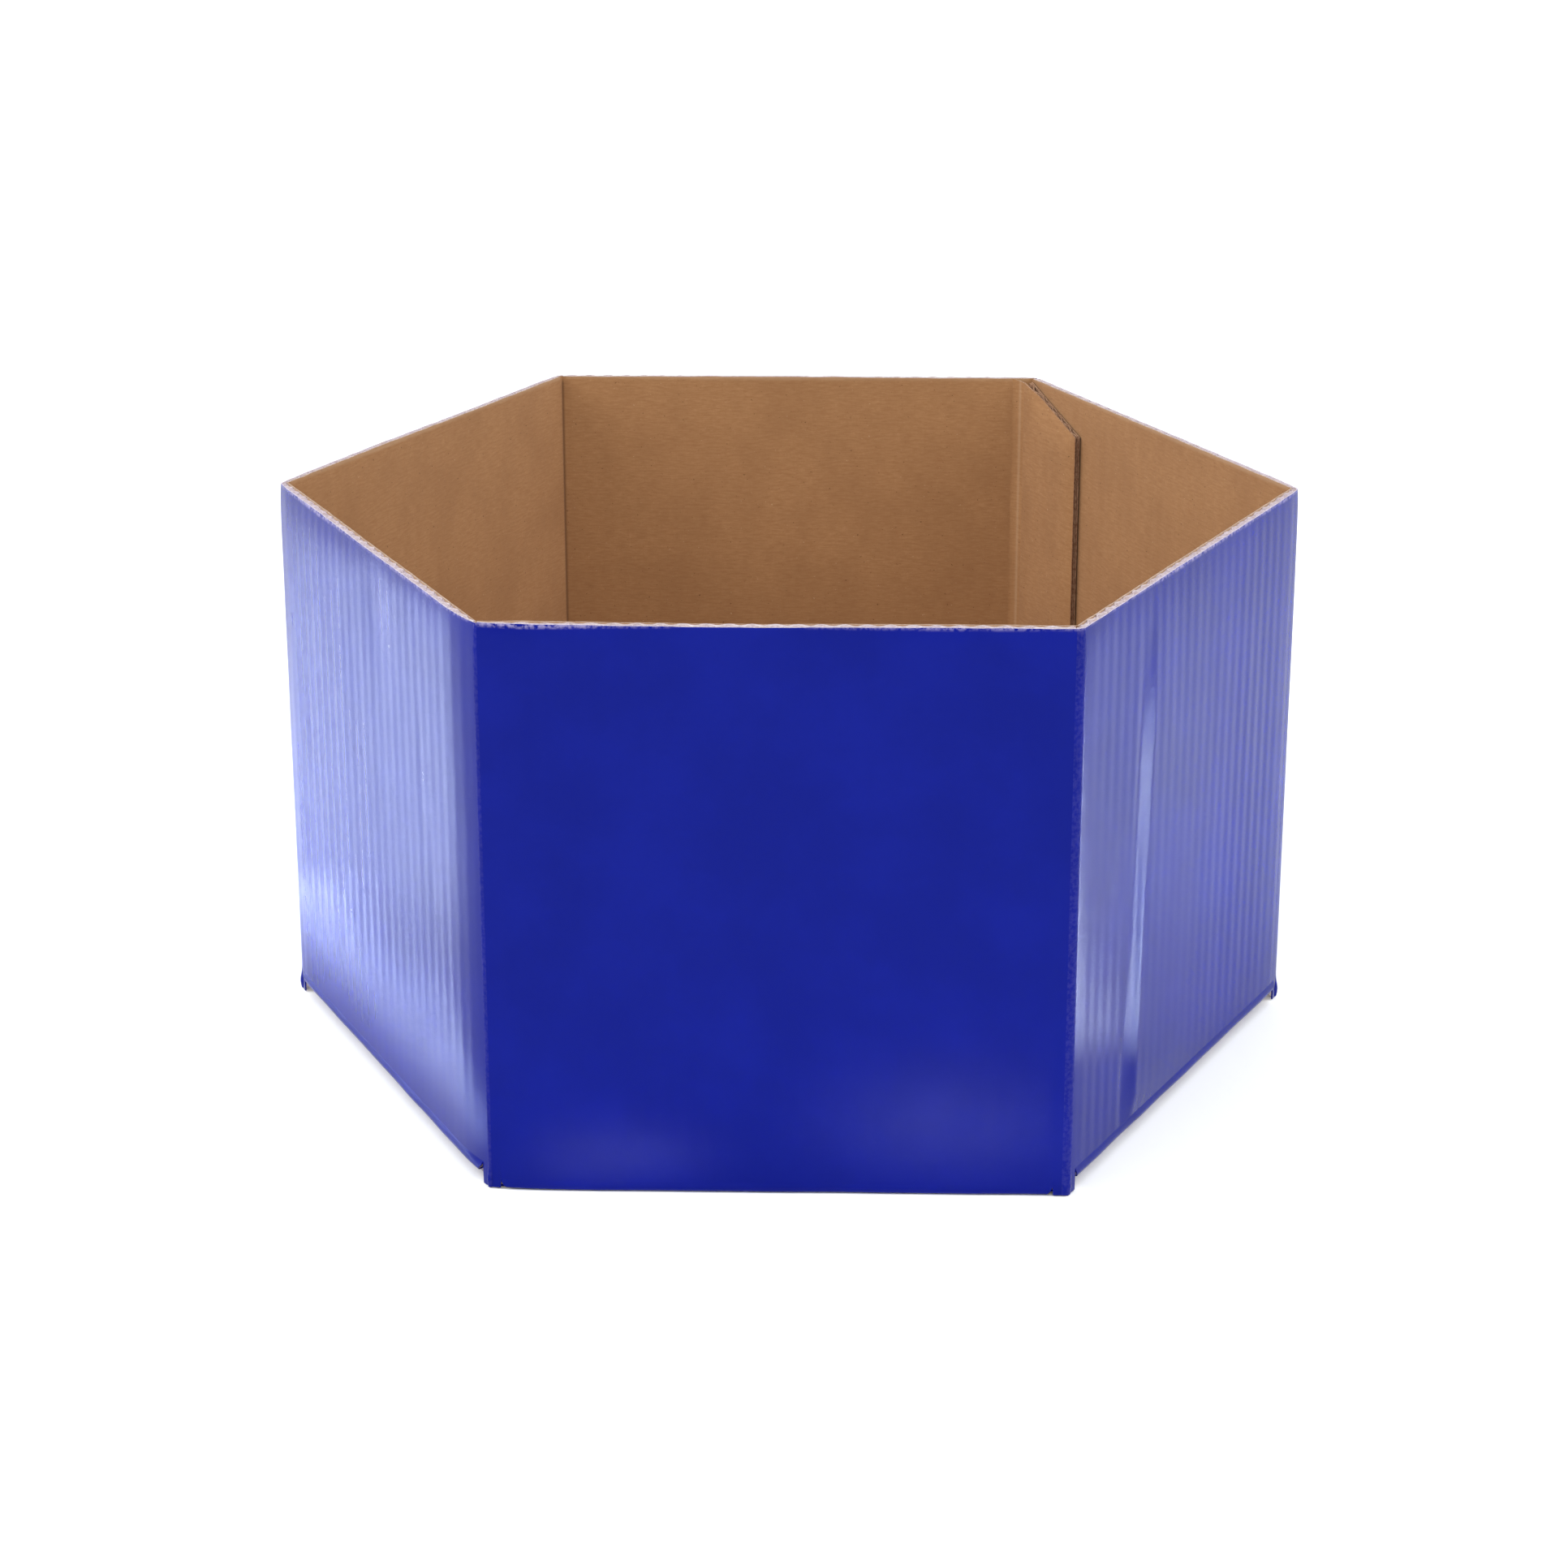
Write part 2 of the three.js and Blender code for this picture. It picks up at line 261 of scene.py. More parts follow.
def node_on_plane(node, plane):
    """A CAD node's outline in u and v, and its lowest and highest w."""
    points = np.array([vertex.co for vertex in frame["nodes"][node].data.vertices])
    local = plane.from_frame(points)
    return convex_hull(local[:, :2]), local[:, 2].min(), local[:, 2].max()


def spans(outline, values, axis):
    """Where lines at these values of one axis enter and leave a convex outline, along the other axis."""
    low, high = np.full(len(values), np.inf), np.full(len(values), -np.inf)
    for start, end in zip(outline, np.roll(outline, -1, axis=0)):
        run = end[axis] - start[axis]
        if abs(run) < 1e-9:
            hit = np.abs(values - start[axis]) < 1e-7
            for point in (start, end):
                low[hit] = np.minimum(low[hit], point[1 - axis])
                high[hit] = np.maximum(high[hit], point[1 - axis])
            continue
        share = (values - start[axis]) / run
        hit = (share > -1e-6) & (share < 1 + 1e-6)
        at = lerp(start[1 - axis], end[1 - axis], share[hit])
        low[hit] = np.minimum(low[hit], at)
        high[hit] = np.maximum(high[hit], at)
    return low, high


def outline_grid(outline, columns, rows, by_column):
    """A grid of u and v that fills a convex outline. Lines of equal u, or else of v, stay straight."""
    axis = 0 if by_column else 1
    count = columns if by_column else rows
    low, high = outline[:, axis].min(), outline[:, axis].max()
    values = np.union1d(np.linspace(low, high, count), np.round(outline[:, axis], 7).clip(low, high))
    values = values[np.insert(np.diff(values) > 1e-6, 0, True)]
    start, end = spans(outline, values, axis)
    shares = np.linspace(0, 1, rows if by_column else columns)
    across = lerp(start[:, None], end[:, None], shares)
    fixed = np.broadcast_to(values[:, None], across.shape)
    return (fixed, across) if by_column else (across.T, fixed.T)


# ---------------------------------------------------------------- meshes


def new_piece(name, points, faces, sheet, wear, materials, material_index=None):
    mesh = bpy.data.meshes.new(name)
    mesh.from_pydata(points.tolist(), [], faces)
    for material in materials:
        mesh.materials.append(material)
    if material_index is not None:
        mesh.polygons.foreach_set("material_index", material_index)
    kinds = (("sheet", "FLOAT_VECTOR", "vector", sheet), ("wear", "FLOAT", "value", wear))
    for attribute, kind, key, values in kinds:
        stored = mesh.attributes.new(attribute, kind, "POINT")
        stored.data.foreach_set(key, values.astype(np.float32).ravel())
    builder = bmesh.new()
    builder.from_mesh(mesh)
    bmesh.ops.recalc_face_normals(builder, faces=builder.faces)
    builder.to_mesh(mesh)
    builder.free()
    mesh.polygons.foreach_set("use_smooth", [True] * len(mesh.polygons))
    mesh.set_sharp_from_angle(angle=math.radians(SHARP_ANGLE))
    piece = bpy.data.objects.new(name, mesh)
    bpy.context.scene.collection.objects.link(piece)
    return piece


SIDES = ("bottom", "top", "start", "end")  # least v, most v, least u, most u


def slab_faces(columns, rows, cut_sides=SIDES):
    """The faces of a closed slab whose upper points come first, then its lower ones, both in a grid.

    Returns the faces, and a material for each: 0 above, 1 below, 2 on cut sides, 0 on the other sides."""
    index = np.arange(columns * rows).reshape(columns, rows)
    under = index + columns * rows

    def quads(grid):
        return np.stack((grid[:-1, :-1], grid[1:, :-1], grid[1:, 1:], grid[:-1, 1:]), -1).reshape(-1, 4)

    def side(upper, lower):
        return np.stack((upper[:-1], upper[1:], lower[1:], lower[:-1]), -1)

    parts = [quads(index), quads(under)[:, ::-1]]
    parts.append(side(index[:, 0], under[:, 0]))
    parts.append(side(index[:, -1], under[:, -1]))
    parts.append(side(index[0, :], under[0, :]))
    parts.append(side(index[-1, :], under[-1, :]))
    materials = [0, 1] + [2 if name in cut_sides else 0 for name in SIDES]
    material_index = [m for m, faces in zip(materials, parts) for _ in faces]
    return np.concatenate(parts).tolist(), material_index


def slab(name, plane, u, v, low, high, wear, materials, seed, cut_sides=SIDES):
    """A closed sheet between two surfaces, low and high, given as w over a grid of u and v.

    materials are for the upper face, the lower face and the cut edges."""
    shape = u.shape
    upper = np.stack((u, v, np.broadcast_to(high, shape)), -1).reshape(-1, 3)
    lower = np.stack((u, v, np.broadcast_to(low, shape)), -1).reshape(-1, 3)
    local = np.concatenate((upper, lower))
    faces, material_index = slab_faces(*shape, cut_sides)
    sheet = local + (0, 0, SHEET_GAP * seed)
    doubled = np.tile(wear.reshape(-1), 2)
    return new_piece(name, plane.to_frame(local), faces, sheet, doubled, materials, material_index)


def edge_distance(outline, u, v, open_at=None):
    """How far each point of a grid is inside the outline. A side along u = open_at doesn't count."""
    nearest = np.full(u.shape, np.inf)
    for start, end in zip(outline, np.roll(outline, -1, axis=0)):
        if open_at is not None and max(abs(start[0] - open_at), abs(end[0] - open_at)) < 1e-6:
            continue
        along = (end - start) / np.linalg.norm(end - start)
        nearest = np.minimum(nearest, np.abs((u - start[0]) * along[1] - (v - start[1]) * along[0]))
    return nearest


def stand_for(piece, node):
    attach(piece, body_of_node(node))
    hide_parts(node)


def body_of_node(node):
    return next(body for body, nodes in frame["record"]["behaviour"]["bodies"].items() if node in nodes)


# ---------------------------------------------------------------- materials


class Material:
    """A Principled material and short calls for the nodes that build its colour, roughness and bump."""

    def __init__(self, name, roughness, specular=0.5):
        self.material = bpy.data.materials.new(name)
        self.material.use_nodes = True
        self.nodes, self.links = self.material.node_tree.nodes, self.material.node_tree.links
        self.shader = self.nodes["Principled BSDF"]
        self.shader.inputs["Roughness"].default_value = roughness
        self.shader.inputs["Specular IOR Level"].default_value = specular

    def node(self, kind, inputs=None, **settings):
        made = self.nodes.new(kind)
        for key, value in settings.items():
            setattr(made, key, value)
        for key, value in (inputs or {}).items():
            if isinstance(value, bpy.types.NodeSocket):
                self.links.new(value, made.inputs[key])
            else:
                made.inputs[key].default_value = value
        return made

    def attribute(self, name, output="Vector"):
        return self.node("ShaderNodeAttribute", attribute_name=name).outputs[output]

    def stretched(self, scale):
        """Sheet coordinates, scaled to features per metre along u, v and w."""
        sheet = self.attribute("sheet")
        return self.node("ShaderNodeMapping", {"Vector": sheet, "Scale": scale}).outputs["Vector"]

    def noise(self, scale, detail, roughness=0.55):
        """Noise whose features are about one unit in the scaled coordinates."""
        inputs = {"Vector": self.stretched(scale), "Scale": 1.0, "Detail": detail, "Roughness": roughness}
        return self.node("ShaderNodeTexNoise", inputs).outputs["Fac"]

    def between(self, value, low, high, to_low=0.0, to_high=1.0):
        inputs = {"Value": value, "From Min": low, "From Max": high, "To Min": to_low, "To Max": to_high}
        return self.node("ShaderNodeMapRange", inputs, interpolation_type="SMOOTHSTEP").outputs["Result"]

    def maths(self, operation, a, b):
        return self.node("ShaderNodeMath", {0: a, 1: b}, operation=operation).outputs["Value"]

    def mix(self, share, first, second):
        made = self.node("ShaderNodeMix", {"Factor": share}, data_type="RGBA")
        for socket, value in (("A", first), ("B", second)):
            target = next(s for s in made.inputs if s.name == socket and s.type == "RGBA")
            if isinstance(value, bpy.types.NodeSocket):
                self.links.new(value, target)
            else:
                target.default_value = (*value, 1.0)
        return next(s for s in made.outputs if s.type == "RGBA")

    def finish(self, colour, roughness, height, bump_distance, bump_strength):
        self.links.new(colour, self.shader.inputs["Base Color"])
        self.links.new(roughness, self.shader.inputs["Roughness"])
        inputs = {"Height": height, "Strength": bump_strength, "Distance": bump_distance}
        bump = self.node("ShaderNodeBump", inputs)
        self.links.new(bump.outputs["Normal"], self.shader.inputs["Normal"])
        return self.material


def make_film():
    """Blue print under a glossy film: faint mottle, a few fine scratches, and pale where it has rubbed."""
    m = Material("printed_film", roughness=0.22, specular=0.11)
    m.shader.inputs["Specular Tint"].default_value = (0.7, 0.9, 1.0, 1.0)
    mottle = m.noise((60, 60, 60), detail=4)
    fine = m.noise((1500, 1500, 900), detail=3)
    hairlines = m.noise((40, 1500, 300), detail=1)
    slanted = m.noise((1400, 130, 300), detail=1)
    scuffs = m.noise((170, 90, 100), detail=5, roughness=0.7)
    worn = m.between(m.attribute("wear", "Fac"), 0.35, 0.9)
    rubbed = m.maths("MULTIPLY", worn, m.between(fine, 0.35, 0.65))
    blue = m.mix(m.between(mottle, 0.35, 0.7), (0.0004, 0.0030, 0.148), (0.0010, 0.0042, 0.170))
    dusty = m.mix(m.between(scuffs, 0.70, 0.85, 0.0, 0.3), blue, (0.012, 0.018, 0.21))
    colour = m.mix(m.maths("MULTIPLY", rubbed, 0.75), dusty, (0.30, 0.26, 0.42))
    scratch = m.maths("MAXIMUM", m.between(hairlines, 0.79, 0.84), m.between(slanted, 0.82, 0.87))
    rough = m.maths("ADD", m.between(scuffs, 0.4, 0.8, 0.19, 0.26), m.maths("MULTIPLY", scratch, 0.02))
    height = m.maths("SUBTRACT", m.noise((420, 60, 400), detail=2), m.maths("MULTIPLY", scratch, 0.05))
    return m.finish(colour, rough, height, bump_distance=0.004 * MM, bump_strength=0.3)


def make_kraft():
    """Brown kraft paper: fibres that lie across the flutes, dark and pale specks, a faint mottle, paler where
    rubbed, painted shade along the inside creases and a painted highlight on the glue flap's root.
    """
    m = Material("kraft_paper", roughness=0.88, specular=0.3)
    m.shader.inputs["Sheen Weight"].default_value = 0.5
    m.shader.inputs["Sheen Roughness"].default_value = 0.3
    fibres = m.noise((500, 2600, 900), detail=5, roughness=0.7)
    crossing = m.noise((2400, 700, 900), detail=4, roughness=0.7)
    cloud = m.noise((110, 80, 90), detail=4)
    specks = m.noise((1500, 1900, 1100), detail=2)
    base = m.mix(m.between(fibres, 0.3, 0.7), (0.300, 0.145, 0.058), (0.395, 0.211, 0.094))
    felted = m.mix(m.between(crossing, 0.35, 0.7, 0.0, 0.6), base, (0.330, 0.167, 0.068))
    clouded = m.mix(m.between(cloud, 0.35, 0.7, 0.0, 0.35), felted, (0.260, 0.124, 0.050))
    dark = m.mix(m.between(specks, 0.68, 0.76, 0.0, 0.8), clouded, (0.11, 0.05, 0.02))
    pale = m.mix(m.between(specks, 0.30, 0.24, 0.0, 0.5), dark, (0.53, 0.35, 0.20))
    # Paler where rubbed, and on the glue flap's root bend, where the paleness is a painted highlight.
    worn = m.between(m.attribute("wear", "Fac"), 0.3, 1.0, 0.0, 0.4)
    # Painted shade: the kraft is darkened along the inside creases, where the plies part; the pressed paper is a
    # little darker too.
    crease_shade = m.between(m.attribute("wear", "Fac"), -0.25, -1.0, 0.0, 0.75)
    colour = m.mix(crease_shade, m.mix(worn, pale, (0.50, 0.34, 0.21)), (0.13, 0.058, 0.024))
    rough = m.between(fibres, 0.3, 0.7, 0.82, 0.95)
    height = m.maths("ADD", fibres, m.maths("MULTIPLY", crossing, 0.6))
    return m.finish(colour, rough, height, bump_distance=0.035 * MM, bump_strength=0.6)


def make_cut_edge(name, dark, pale, stain):
    """A torn paper edge: loose fibres of two tones, and stains."""
    m = Material(name, roughness=0.92, specular=0.15)
    fibres = m.noise((2200, 1300, 2200), detail=5, roughness=0.75)
    stains = m.noise((300, 300, 900), detail=3)
    mixed = m.mix(m.between(fibres, 0.35, 0.65), dark, pale)
    colour = m.mix(m.between(stains, 0.52, 0.75, 0.0, 0.6), mixed, stain)
    rough = m.between(fibres, 0.3, 0.7, 0.85, 0.97)
    return m.finish(colour, rough, fibres, bump_distance=0.08 * MM, bump_strength=0.8)


def make_medium():
    """Uncoated recycled paper of the flutes: grey-white with brown fibres."""
    m = Material("medium_paper", roughness=0.93, specular=0.2)
    fibres = m.noise((900, 2400, 1200), detail=5, roughness=0.7)
    stains = m.noise((240, 200, 240), detail=3)
    base = m.mix(m.between(fibres, 0.3, 0.7), (0.52, 0.44, 0.42), (0.72, 0.66, 0.66))
    colour = m.mix(m.between(stains, 0.5, 0.8, 0.0, 0.5), base, (0.42, 0.29, 0.19))
    rough = m.between(fibres, 0.3, 0.7, 0.88, 0.97)
    return m.finish(colour, rough, fibres, bump_distance=0.03 * MM, bump_strength=0.6)


def make_glue():
    """Dried packaging glue: clear yellowish skin with small bubbles."""
    m = Material("dried_glue", roughness=0.45)
    coordinates = m.node("ShaderNodeTexCoord").outputs["Object"]
    bubbles = m.node("ShaderNodeTexVoronoi", {"Vector": coordinates, "Scale": 900.0}).outputs["Distance"]
    cloud = m.node("ShaderNodeTexNoise", {"Vector": coordinates, "Scale": 200.0}).outputs["Fac"]
    base = m.mix(m.between(cloud, 0.35, 0.7), (0.62, 0.55, 0.36), (0.78, 0.72, 0.55))
    colour = m.mix(m.between(bubbles, 0.05, 0.2, 0.5, 0.0), base, (0.45, 0.36, 0.2))
    rough = m.between(cloud, 0.3, 0.7, 0.35, 0.6)
    return m.finish(colour, rough, bubbles, bump_distance=0.03 * MM, bump_strength=0.5)


FILM = make_film()
KRAFT = make_kraft()
WHITE_EDGE = make_cut_edge("cut_white_edge", (0.30, 0.26, 0.33), (0.52, 0.46, 0.54), (0.34, 0.24, 0.19))
MEDIUM_EDGE = make_cut_edge("cut_medium_edge", (0.28, 0.22, 0.24), (0.48, 0.40, 0.43), (0.30, 0.20, 0.16))
KRAFT_EDGE = make_cut_edge("cut_kraft_edge", (0.24, 0.16, 0.11), (0.42, 0.32, 0.26), (0.22, 0.13, 0.08))
# The glue flap's cut edges and the paper between its plies: kraft brown, darkened with painted shade.
SHADED_FLAP_EDGE = make_cut_edge("cut_flap_edge", (0.20, 0.105, 0.06), (0.40, 0.24, 0.15), (0.22, 0.11, 0.06))
MEDIUM = make_medium()
GLUE = make_glue()

# ---------------------------------------------------------------- relief of the walls

ROLLS = {corner: SLIGHT_ROLL for corner in CORNERS}
ROLLS |= {"front_left": SOFT_ROLL, "front_right": SHARP_ROLL}


def fades(u, v, width, low, high):
    """How far the flutes still show: 1 on the open sheet, and 0 at creases and cuts."""
    sides = smooth(np.minimum(u, width - u) / CREASE_CRUSH)
    ends = smooth(np.minimum(v - low, high - v) / CREASE_CRUSH)
    return sides * ends


def washboard(u, strength):
    return strength * np.cos(math.tau * u / PITCH)


def creased_ridge(u, v, at, lean, rise, height):
    """An upright crease in the board: a short steep rise after a small dip, and a long fall behind it.

    It is deepest at the foot of the wall, and fades out below the rim."""
    past = u - at - lean * (v / RIM - 0.5)
    up = smooth(past / rise + 0.5) * np.exp(-np.maximum(past - rise / 2, 0) / (4 * rise))
    dip = 0.2 * np.exp(-((past / rise + 0.75) ** 2) / 0.08)
    deeper = lerp(0.8, 1.4, (RIM - v) / RIM)
    return height * (up - dip) * deeper * smooth((RIM - v) / (25 * MM))


def dent(u, v, at_u, at_v, size_u, size_v, depth):
    return -depth * np.exp(-(((u - at_u) / size_u) ** 2) - ((v - at_v) / size_v) ** 2)


def wall_relief(wall, u, v):
    """How far the outer liner stands out from its flat place, before it is crushed at its edges."""
    seed = WALLS.index(wall)
    relief = 0.10 * MM * soft_noise(u / (26 * MM), v / (70 * MM), 10 + seed)
    relief += 0.014 * MM * soft_noise(u / (5 * MM), v / (28 * MM), 20 + seed)
    strength = WASHBOARD * (1 + 0.5 * soft_noise(u / (18 * MM), v / (40 * MM), 30 + seed))
    relief += washboard(u, 1) * strength
    if wall == "front_right":
        relief += creased_ridge(u, v, 23.5 * MM, 5 * MM, 3.8 * MM, 0.42 * MM)
    if wall == "front_left":
        relief += dent(u, v, 12 * MM, 54 * MM, 0.9 * MM, 1.6 * MM, 0.16 * MM)
        relief += dent(u, v, 47 * MM, 80 * MM, 5.5 * MM, 8.0 * MM, 0.20 * MM)
        relief += dent(u, v, 66 * MM, 58 * MM, 1.6 * MM, 12.0 * MM, 0.05 * MM)
        relief += dent(u, v, 70 * MM, 44 * MM, 1.4 * MM, 9.0 * MM, 0.05 * MM)
    return relief


def roll(corner, distance):
    drop, reach = ROLLS[corner]
    return drop * np.clip(1 - distance / reach, 0, 1) ** 2


def corner_roll(wall, u):
    """How far the board is crushed towards its wall's corners. It stays flat at the end that is glued."""
    from_end = 0 if wall == "back_right" else roll(next_corner(wall), wall_width(wall) - u)
    return roll(WALL_STARTS[wall], u) + from_end


def rim_crush(v):
    """The knife presses the outer liner in, over the last few millimetres below the rim."""
    return RIM_PRESS * np.exp(-(RIM - v) / RIM_PRESS_REACH)


def wall_press(wall):
    """How a wall's board is crushed: a function of u, v and the place w in the full board."""
    return lambda u, v, w: w * (1 - (corner_roll(wall, u) + rim_crush(v)) / BOARD)


def no_press(u, v, w):
    return w + 0 * u


def rim_wander(u, seed):
    """The small unevenness of the cut along the rim."""
    ripple = 0.04 * MM * soft_noise(u / (3 * MM), u * 0, 40 + seed)
    return ripple + 0.10 * MM * soft_noise(u / (30 * MM), u * 0, 50 + seed)


# ---------------------------------------------------------------- walls


PLY_MATERIALS = {
    "outer_liner": [FILM, MEDIUM, WHITE_EDGE],
    "inner_liner": [KRAFT, KRAFT, KRAFT_EDGE],
    "flutes": [MEDIUM, MEDIUM, MEDIUM_EDGE],
}


def liner_grid(width):
    """Places across a wall and shares of its height, closer together beside the ears and near the rim."""
    columns = np.linspace(0, width, int(width / PITCH * SAMPLES_PER_FLUTE) + 1)
    columns = np.union1d(columns, (EAR, EAR + EAR_STEP, width - EAR - EAR_STEP, width - EAR))
    open_rows = np.linspace(0, RIM_ZONE, SHEET_ROWS - RIM_ROWS)[:-1]
    rows = np.concatenate((open_rows, np.linspace(RIM_ZONE, 1, RIM_ROWS)))
    return np.meshgrid(columns, rows, indexing="ij")


def wall_liner(wall, ply):
    node = f"wall_{wall}_{ply}"
    plane, width, seed = wall_plane(wall), wall_width(wall), WALLS.index(wall)
    outline, low, high = node_on_plane(node, plane)
    bottom, top = hinge_height(wall), outline[:, 1].max()
    if ply == "inner_liner":
        bottom += HINGE_GAP
    u, share = liner_grid(width)
    from_corner = np.minimum(u, width - u)
    ear = (from_corner < EAR + 1e-6) & (ply == "outer_liner")
    v = lerp(np.where(ear, CREASE_FOOT, bottom), top, share)
    near_rim = smooth((share - RIM_ZONE) / (1 - RIM_ZONE))
    fade, press = fades(u, v, width, bottom, top), wall_press(wall)
    if ply == "outer_liner":
        offset = wall_relief(wall, u, v) * fade
        v = v + (rim_wander(u, seed) - OUTER_LINER_DROP) * near_rim
        wear = np.exp(-(RIM - v) / RIM_WEAR)
    else:
        offset = washboard(u, INNER_WASHBOARD) * fade
        offset = offset + 0.03 * MM * soft_noise(u / (22 * MM), v / (40 * MM), 60 + seed) * fade
        v = v + rim_wander(u, seed) * near_rim
        # Rubbed near the rim, and painted shade beside each inside corner.
        wear = np.exp(-(RIM - v) / INNER_RIM_WEAR) - np.exp(-((from_corner / CREASE_SHADE_WIDTH) ** 2))
    low, high = press(u, v, low) + offset, press(u, v, high) + offset
    cut_sides = ("top", "end") if wall == "back_right" else ("top",)
    piece = slab(node + "_sheet", plane, u, v, low, high, wear, PLY_MATERIALS[ply], seed, cut_sides)
    stand_for(piece, node)


def wave(u, low, high):
    """The lower and upper faces of the medium's paper, between w = low and w = high."""
    middle = (high - low - FLUTE_PAPER) / 2 * (1 - np.cos(math.tau * u / PITCH))
    return low + middle, low + middle + FLUTE_PAPER


def medium_piece(node, plane, seed, press, materials=None):
    """A wavy sheet that fills the node's outline."""
    outline, low, high = node_on_plane(node, plane)
    left, right = outline[:, 0].min(), outline[:, 0].max()
    u = np.linspace(left, right, int((right - left) / PITCH * MEDIUM_SAMPLES) + 1)[1:-1]
    bottom, top = spans(outline, u, axis=0)
    shares = np.array((0.0, 0.5, 0.9, 0.96, 1.0))
    v = lerp(bottom[:, None], top[:, None], shares)
    grid_u = np.broadcast_to(u[:, None], v.shape)
    under, over = wave(grid_u, press(grid_u, v, low), press(grid_u, v, high))
    materials = materials or PLY_MATERIALS["flutes"]
    piece = slab(node + "_wave", plane, grid_u, v, under, over, np.zeros(v.shape), materials, seed)
    stand_for(piece, node)


FRAY_STEP = 0.28 * MM
FRAY_DROP = 0.16 * MM  # how far below the rim the frayed paper ends, on average
FRAY_HEIGHT = 0.07 * MM  # how far it rises and falls from there
FRAY_FOOT = 0.9 * MM  # how far below the rim it begins


def fray(wall):
    """Flute paper that the knife has crushed and frayed, just below the rim."""
    node, plane, seed = f"wall_{wall}_flutes", wall_plane(wall), WALLS.index(wall)
    outline, low, high = node_on_plane(node, plane)
    left, right = outline[:, 0].min(), outline[:, 0].max()
    u = np.linspace(left, right, int((right - left) / FRAY_STEP))
    grid_u, grid_w = np.meshgrid(u, np.linspace(low, high, 7), indexing="ij")
    rough = soft_noise(grid_u / (0.5 * MM), grid_w / (0.4 * MM), 70 + seed, waves=12)
    nearness = np.cos(math.tau * grid_u / PITCH) * lerp(-1, 1, (grid_w - low) / (high - low))
    top = RIM - FRAY_DROP + FRAY_HEIGHT * (rough - nearness) + rim_wander(grid_u, seed)
    foot = np.full(top.shape, RIM - FRAY_FOOT)
    press = wall_press(wall)
    upper = np.stack((grid_u, top, press(grid_u, top, grid_w)), -1).reshape(-1, 3)
    lower = np.stack((grid_u, foot, press(grid_u, foot, grid_w)), -1).reshape(-1, 3)
    local = np.concatenate((upper, lower))
    faces, _ = slab_faces(*grid_u.shape)
    sheet = local + (0, 0, SHEET_GAP * seed)
    wear = np.ones(len(local))
    piece = new_piece(f"{node}_fray", plane.to_frame(local), faces, sheet, wear, [MEDIUM_EDGE])
    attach(piece, body_of_node(node))


for wall in WALLS:
    wall_liner(wall, "outer_liner")
    wall_liner(wall, "inner_liner")
    medium_piece(f"wall_{wall}_flutes", wall_plane(wall), WALLS.index(wall), wall_press(wall))
    fray(wall)

# ---------------------------------------------------------------- base panel and flaps


def flat_liner(node, plane, ply, seed, materials, cut_sides, press, by_column):
    outline, low, high = node_on_plane(node, plane)
    root = HINGE_GAP if ply == "inner_liner" else 0
    outline[:, 1] = np.where(outline[:, 1] < HINGE_MARGIN, root, outline[:, 1])
    width = outline[:, 0].max() - outline[:, 0].min()
    columns = int(width / PITCH * FLAP_SAMPLES) + 1
    u, v = outline_grid(outline, columns, SHEET_ROWS, by_column)
    inside = edge_distance(outline, u, v)
    fade = smooth(inside / CREASE_CRUSH)
    strength = WASHBOARD if ply == "outer_liner" else INNER_WASHBOARD
    uneven = 0.02 * MM * soft_noise(u / (20 * MM), v / (20 * MM), 80 + seed)
    offset = (washboard(u, strength) + uneven) * fade
    # The base panel's underside is kept off the floor, and the glue flap's outer face out of the glue.
    held_back = abs(plane.to_frame(np.array((0, 0, high)))[2]) < 1e-6
    if ply == "outer_liner" and held_back:
        offset = np.minimum(offset, 0)
    wear = 0.4 * np.exp(-inside / (0.4 * MM)) if ply == "inner_liner" else 0 * u
    low, high = press(u, v, low) + offset, press(u, v, high) + offset
    piece = slab(node + "_sheet", plane, u, v, low, high, wear, materials, seed, cut_sides)
    stand_for(piece, node)


def board_materials(ply, edges):
    """A ply's materials. edges, where given, is for its cut edges and for what shows between the plies."""
    face, back, cut = PLY_MATERIALS[ply]
    if edges is None:
        return [face, back, cut]
    return [face, KRAFT if ply == "inner_liner" else edges, edges]


def flat_board(name, plane, seed, cut_sides, edges=None, press=no_press, by_column=False):
    """A flat board of three plies. edges is a material for all cut edges, in place of each ply's own."""
    for ply in ("outer_liner", "inner_liner"):
        materials = board_materials(ply, edges)
        flat_liner(f"{name}_{ply}", plane, ply, seed, materials, cut_sides, press, by_column)
    medium_piece(f"{name}_flutes", plane, seed, press, [edges] * 3 if edges else None)


def glue_flap_press():
    """The glue flap's board is crushed towards the wall it is glued to, at its free edges."""
    outline, _, glued_face = node_on_plane("glue_flap_outer_liner", glue_flap_plane())
    root = outline[:, 0].max()

    def press(u, v, w):
        free_edge = np.exp(-edge_distance(outline, u, v, open_at=root) / FLAP_CRUSH_WIDTH)
        away_from_root = smooth((root - u) / FLAP_CRUSH_END)
        return glued_face + (w - glued_face) * (1 - FLAP_CRUSH * free_edge * away_from_root)

    return press


for wall in WALLS:
    flat_board(flap_name(wall), flap_plane(wall), 10 + WALLS.index(wall), ("top", "start", "end"))
# The glue flap's edges and flutes carry painted shade.
flat_board("glue_flap", glue_flap_plane(), 20, SIDES, SHADED_FLAP_EDGE, glue_flap_press(), by_column=True)
frame["nodes"]["glue_line"].data.materials.clear()
frame["nodes"]["glue_line"].data.materials.append(GLUE)

# ---------------------------------------------------------------- creases


